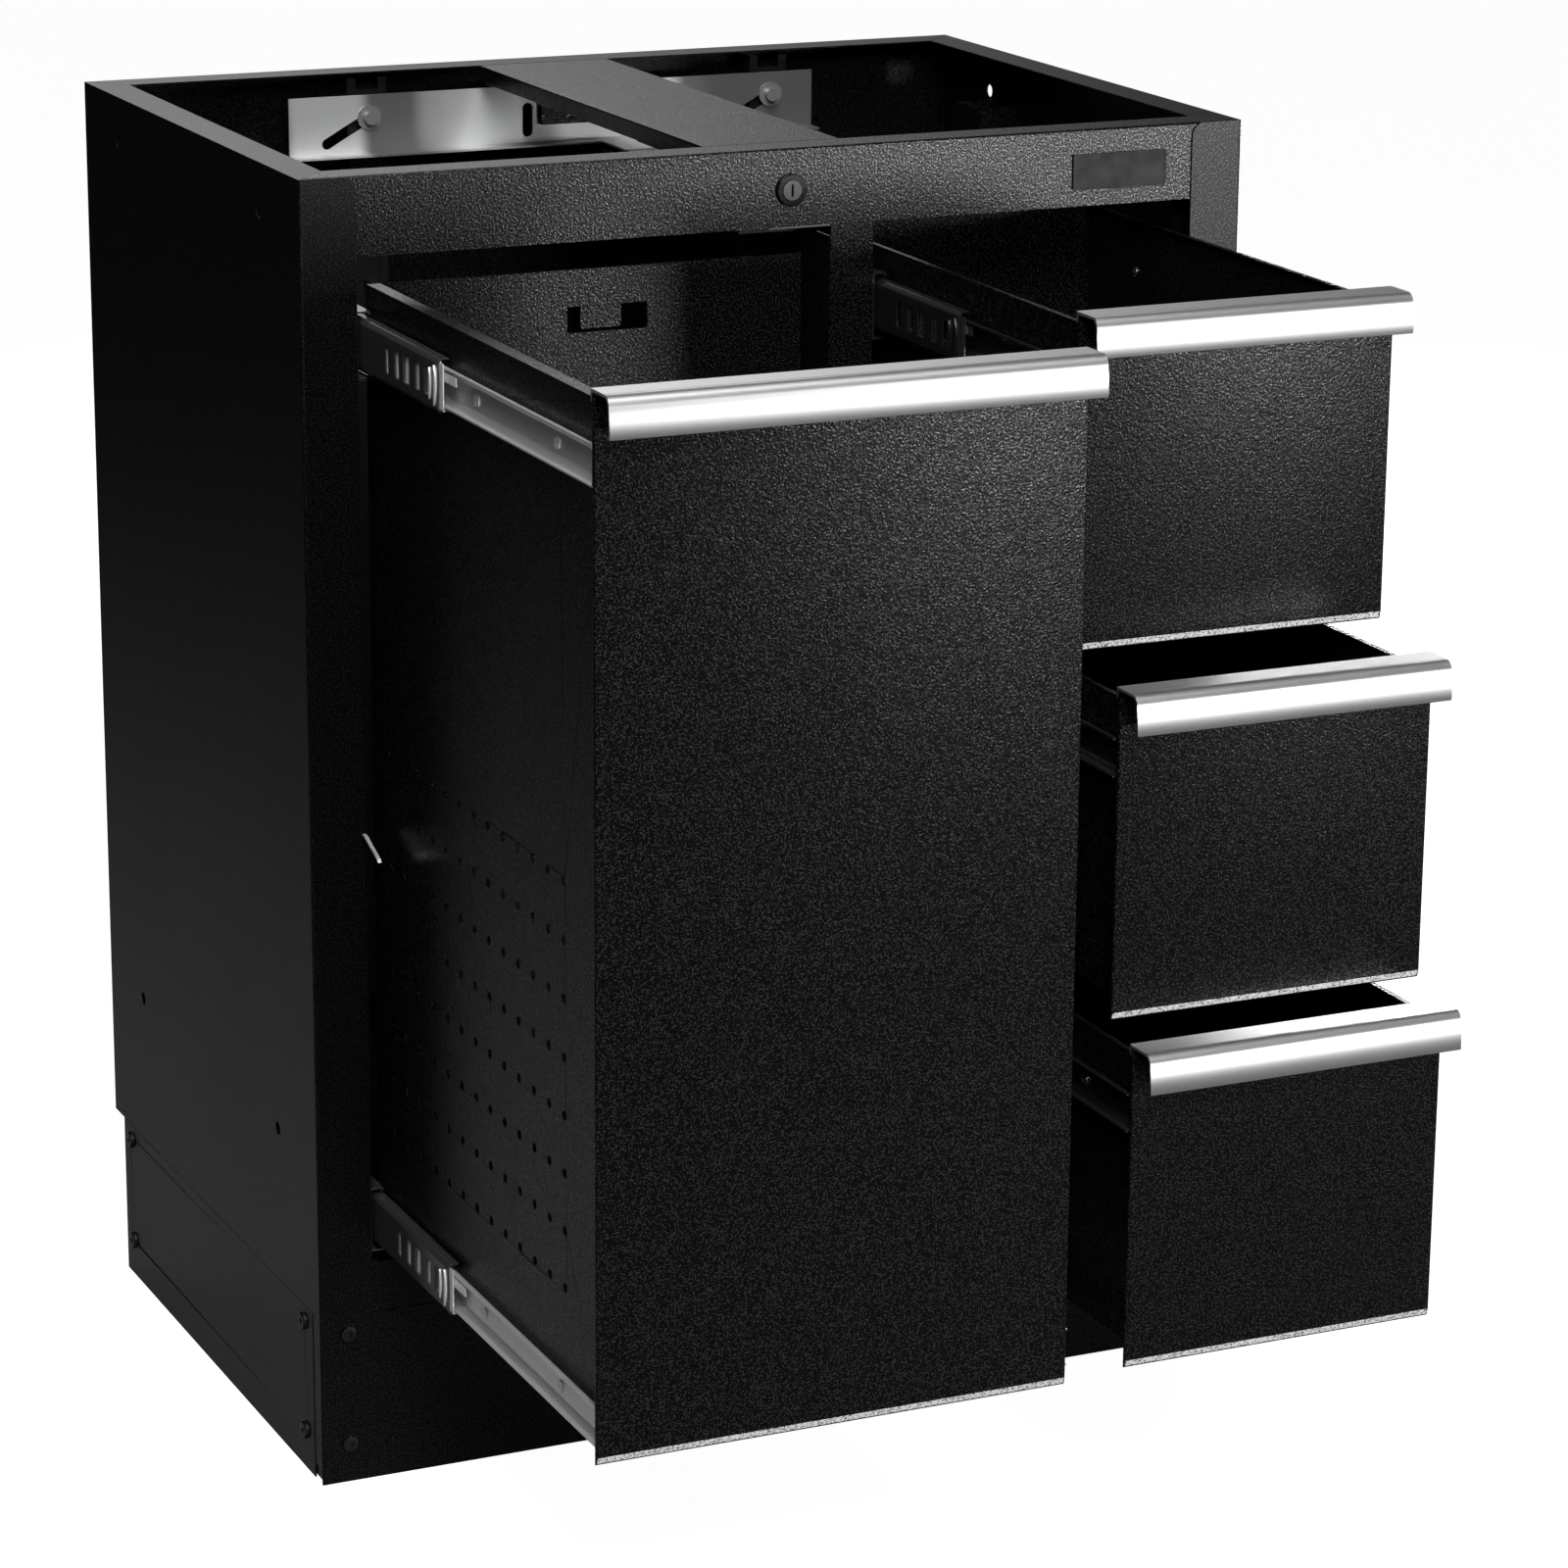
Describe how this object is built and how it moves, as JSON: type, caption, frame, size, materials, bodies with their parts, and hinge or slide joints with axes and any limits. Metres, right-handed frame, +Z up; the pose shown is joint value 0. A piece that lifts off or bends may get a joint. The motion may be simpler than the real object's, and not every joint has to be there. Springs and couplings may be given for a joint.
{
  "type": "tool base cabinet",
  "caption": "Steel tool base cabinet on a plinth, with a tall perforated pull-out beside stacked drawers, aluminium handle strips, ball-bearing slides and a cam lock.",
  "frame": {"origin": "on the floor, in the middle of the width, in the plane of the cabinet's front face", "axes": "+Z up, the drawers open towards -Y, +X to the right as seen from the front"},
  "size_m": [0.6852, 0.8669, 0.892],
  "materials": {
    "textured_black": "black powder coat with a fine orange-peel texture",
    "satin_black": "smooth satin black powder coat",
    "handle_aluminium": "satin anodised extrusion",
    "zinc": "bright zinc plate",
    "dark_slide": "black zinc plate",
    "bolt_steel": "bright turned steel",
    "black_screw": "black oxide",
    "lock_column": "satin black powder coat",
    "badge": "bare dark plate",
    "lock_black": "black lock body",
    "lock_face": "dark nickel face"
  },
  "bodies": {
    "cabinet": {"left_side_panel": "satin_black", "right_side_panel": "satin_black", "back_panel": "satin_black", "top_front_rail": "textured_black", "bottom_panel": "satin_black", "centre_divider": "textured_black", "top_cross_channel": "textured_black", "slide_columns": "satin_black", "plinth_front": "satin_black", "plinth_left": "satin_black", "plinth_right": "satin_black", "plinth_rear": "satin_black", "plinth_corner_brackets": "satin_black", "panel_screws": "black_screw", "badge_plate": "badge", "lock_housing": "lock_black", "lock_channels": "lock_column", "slide_screws": "bolt_steel", "pullout_outer_rails": "zinc", "drawer_1_outer_rails": "dark_slide", "drawer_2_outer_rails": "dark_slide", "drawer_3_outer_rails": "dark_slide"},
    "pullout": {"pullout_front": "textured_black", "pullout_handle": "handle_aluminium", "pullout_left_wall": "textured_black", "pullout_right_wall": "textured_black", "pullout_back_wall": "textured_black", "pullout_floor": "textured_black", "pullout_inner_rails": "zinc", "pullout_rail_screws": "bolt_steel"},
    "pullout_mid": {"pullout_mid_rails": "zinc", "pullout_ball_cages": "bolt_steel"},
    "drawer_1": {"drawer_1_front": "textured_black", "drawer_1_handle": "handle_aluminium", "drawer_1_tray": "textured_black", "drawer_1_back": "textured_black", "drawer_1_inner_rails": "dark_slide"},
    "drawer_1_mid": {"drawer_1_mid_rails": "dark_slide", "drawer_1_ball_cages": "bolt_steel"},
    "drawer_2": {"drawer_2_front": "textured_black", "drawer_2_handle": "handle_aluminium", "drawer_2_tray": "textured_black", "drawer_2_back": "textured_black", "drawer_2_inner_rails": "dark_slide"},
    "drawer_2_mid": {"drawer_2_mid_rails": "dark_slide", "drawer_2_ball_cages": "bolt_steel"},
    "drawer_3": {"drawer_3_front": "textured_black", "drawer_3_handle": "handle_aluminium", "drawer_3_tray": "textured_black", "drawer_3_back": "textured_black", "drawer_3_inner_rails": "dark_slide"},
    "drawer_3_mid": {"drawer_3_mid_rails": "dark_slide", "drawer_3_ball_cages": "bolt_steel"},
    "lock_cylinder": {"lock_cylinder": "lock_face", "lock_cam": "zinc"},
    "lock_plate": {"lock_plate": "zinc"},
    "lock_bar_left": {"lock_bar_left": "lock_column", "lock_bolt_left": "bolt_steel"},
    "lock_bar_right": {"lock_bar_right": "lock_column", "lock_bolt_right": "bolt_steel"}
  },
  "joints": [
    {"name": "pullout_slide", "type": "slide", "parent": "cabinet", "child": "pullout", "axis": [0, -1, 0], "range_m": [-0.3825, 0.0175]},
    {"name": "pullout_mid_slide", "type": "slide", "parent": "cabinet", "child": "pullout_mid", "axis": [0, -1, 0], "range_m": [-0.19125, 0.00875]},
    {"name": "drawer_1_slide", "type": "slide", "parent": "cabinet", "child": "drawer_1", "axis": [0, -1, 0], "range_m": [-0.279, 0.121]},
    {"name": "drawer_1_mid_slide", "type": "slide", "parent": "cabinet", "child": "drawer_1_mid", "axis": [0, -1, 0], "range_m": [-0.1395, 0.0605]},
    {"name": "drawer_2_slide", "type": "slide", "parent": "cabinet", "child": "drawer_2", "axis": [0, -1, 0], "range_m": [-0.344, 0.056]},
    {"name": "drawer_2_mid_slide", "type": "slide", "parent": "cabinet", "child": "drawer_2_mid", "axis": [0, -1, 0], "range_m": [-0.172, 0.028]},
    {"name": "drawer_3_slide", "type": "slide", "parent": "cabinet", "child": "drawer_3", "axis": [0, -1, 0], "range_m": [-0.374, 0.026]},
    {"name": "drawer_3_mid_slide", "type": "slide", "parent": "cabinet", "child": "drawer_3_mid", "axis": [0, -1, 0], "range_m": [-0.187, 0.013]},
    {"name": "lock_plate_slide", "type": "slide", "parent": "cabinet", "child": "lock_plate", "axis": [1, 0, 0], "range_m": [0, 0.028]},
    {"name": "lock_key_turn", "type": "hinge", "parent": "cabinet", "child": "lock_cylinder", "pos_m": [0.002, 0, 0.8645], "axis": [0, -1, 0], "range_deg": [0, 90]},
    {"name": "lock_bar_left_slide", "type": "slide", "parent": "cabinet", "child": "lock_bar_left", "axis": [0, 0, -1], "range_m": [0, 0.0155]},
    {"name": "lock_bar_right_slide", "type": "slide", "parent": "cabinet", "child": "lock_bar_right", "axis": [0, 0, -1], "range_m": [0, 0.0155]}
  ],
  "couplings": [
    {"joint": "pullout_mid_slide", "follows": "pullout_slide", "ratio": 0.5},
    {"joint": "drawer_1_mid_slide", "follows": "drawer_1_slide", "ratio": 0.5},
    {"joint": "drawer_2_mid_slide", "follows": "drawer_2_slide", "ratio": 0.5},
    {"joint": "drawer_3_mid_slide", "follows": "drawer_3_slide", "ratio": 0.5},
    {"joint": "lock_key_turn", "follows": "lock_plate_slide", "rad_per_m": 56.09},
    {"joint": "lock_bar_left_slide", "follows": "lock_plate_slide", "ratio": 0.552},
    {"joint": "lock_bar_right_slide", "follows": "lock_plate_slide", "ratio": 0.552}
  ]
}
